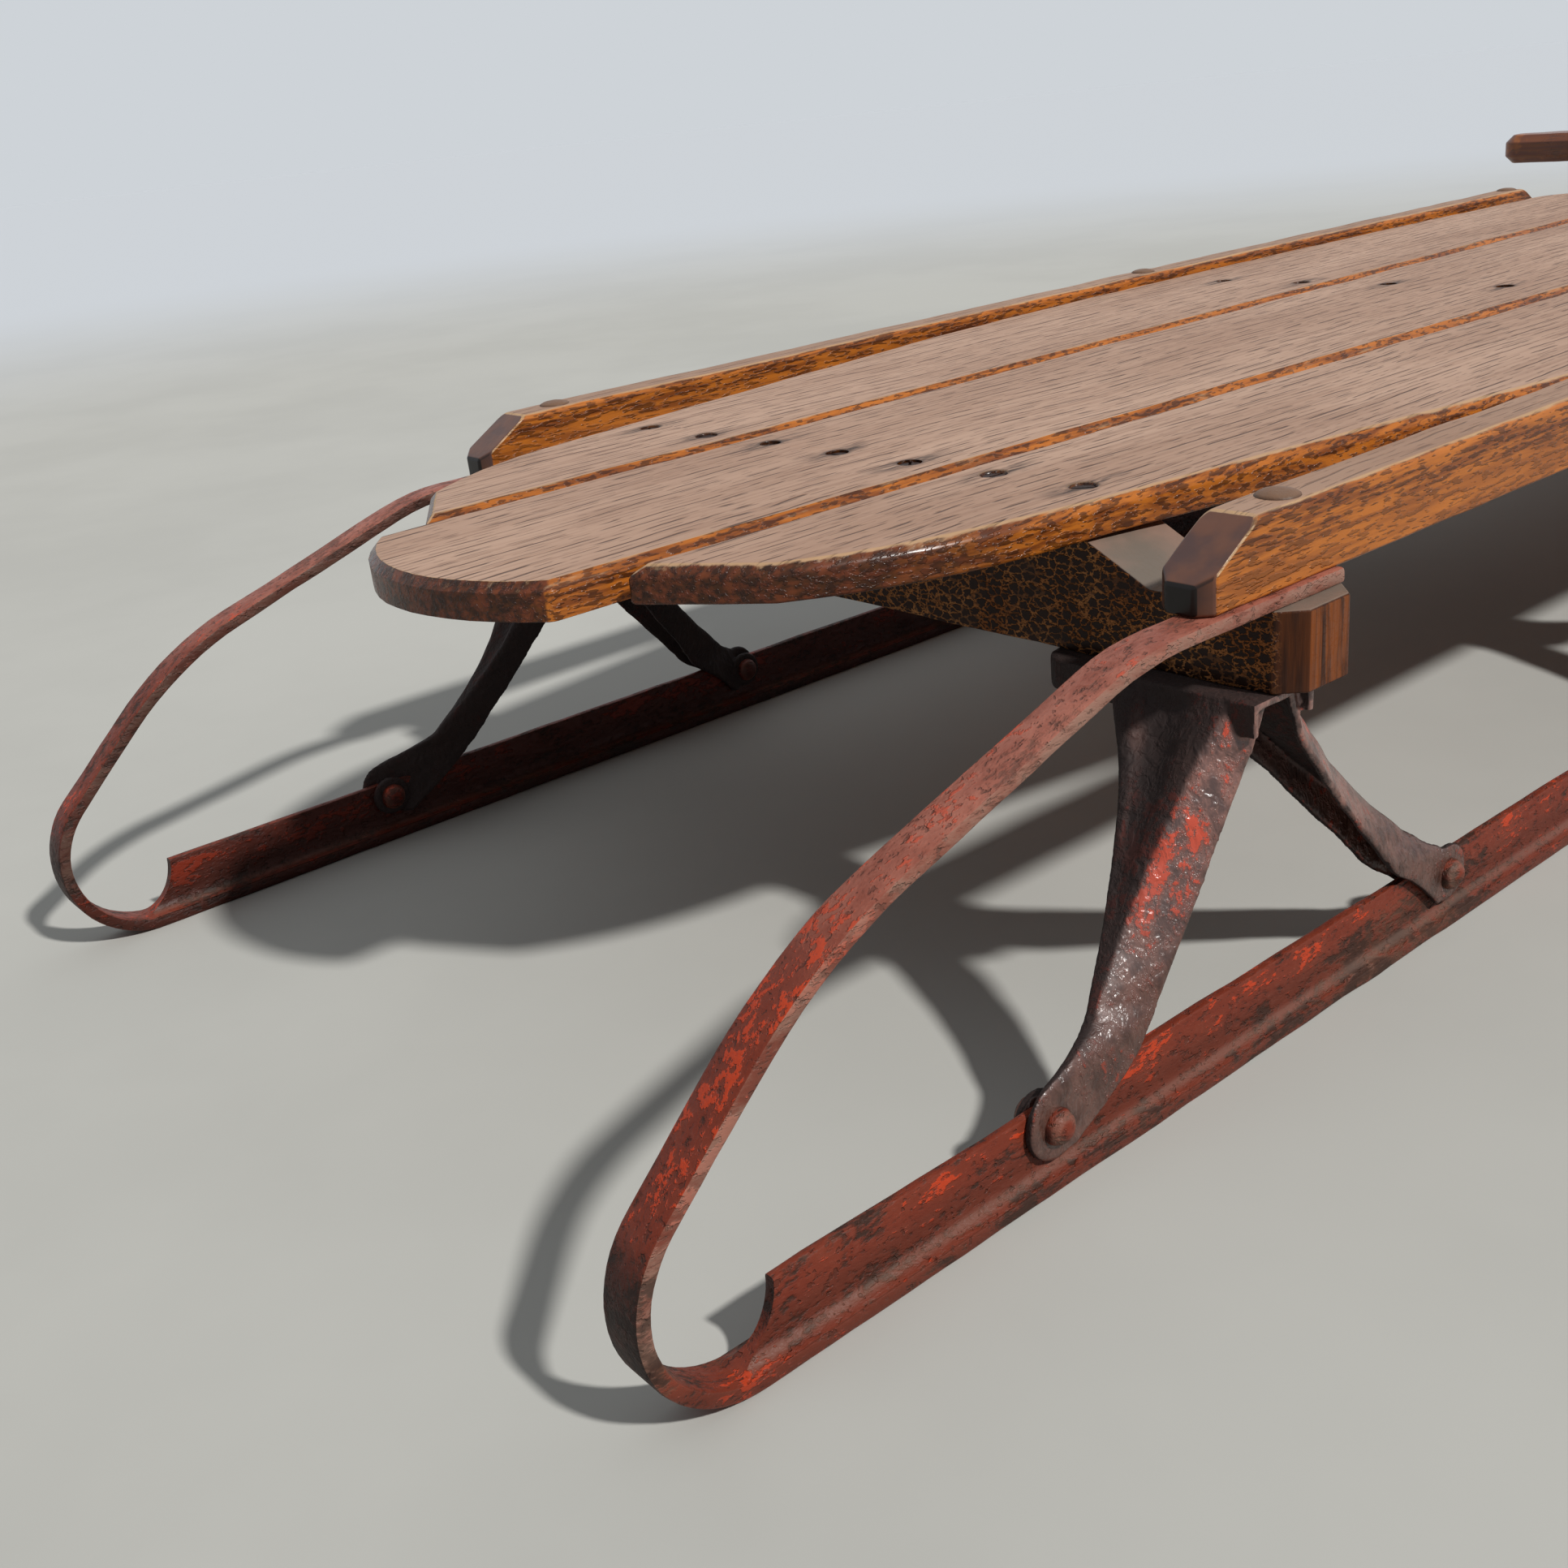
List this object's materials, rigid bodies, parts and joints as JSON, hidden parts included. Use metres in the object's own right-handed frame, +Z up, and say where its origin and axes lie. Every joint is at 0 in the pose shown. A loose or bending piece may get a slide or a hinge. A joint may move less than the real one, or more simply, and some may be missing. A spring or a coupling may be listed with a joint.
{
  "type": "steerable runner sled",
  "caption": "Wooden slatted coasting sled with side rails on pressed-steel knees, looped steel runners and a pivoted steering bar.",
  "frame": {"origin": "on the ground under the middle of the sled's overall length and width", "axes": "+X the way the sled travels, +Y its left side, +Z up"},
  "size_m": [1.2145, 0.504, 0.1808],
  "materials": {
    "deck_wood": "worn oak, dusty and dry, with amber varnish left in the joints",
    "rail_wood": "crackled amber varnish, worn on top",
    "bolster_wood": "dark crackled varnish",
    "bar_wood": "glossy red-brown varnish, worn",
    "knee_steel": "worn red paint over brown rust",
    "runner_steel": "worn red paint over brown rust",
    "bolt_steel": "rusted"
  },
  "bodies": {
    "sled": {"slat_centre": "deck_wood", "slat_left": "deck_wood", "slat_right": "deck_wood", "rail_left": "rail_wood", "rail_right": "rail_wood", "bolster_rear": "bolster_wood", "bolster_middle": "bolster_wood", "bolster_front": "bolster_wood", "knee_rear_left": "knee_steel", "knee_rear_right": "knee_steel", "knee_middle_left": "knee_steel", "knee_middle_right": "knee_steel", "knee_front_left": "knee_steel", "knee_front_right": "knee_steel", "runner_left": "runner_steel", "runner_right": "runner_steel", "nose_bar": "runner_steel", "pivot_plate": "runner_steel", "pivot_bolt": "bolt_steel"},
    "steering": {"steering_bar": "bar_wood", "steering_tongue": "runner_steel", "tongue_pin": "bolt_steel", "pivot_washer": "bolt_steel"}
  },
  "joints": [
    {"name": "steer", "type": "hinge", "parent": "sled", "child": "steering", "pos_m": [0.51601, 0, 0.16], "axis": [0, 0, 1], "range_deg": [-10, 10]}
  ]
}
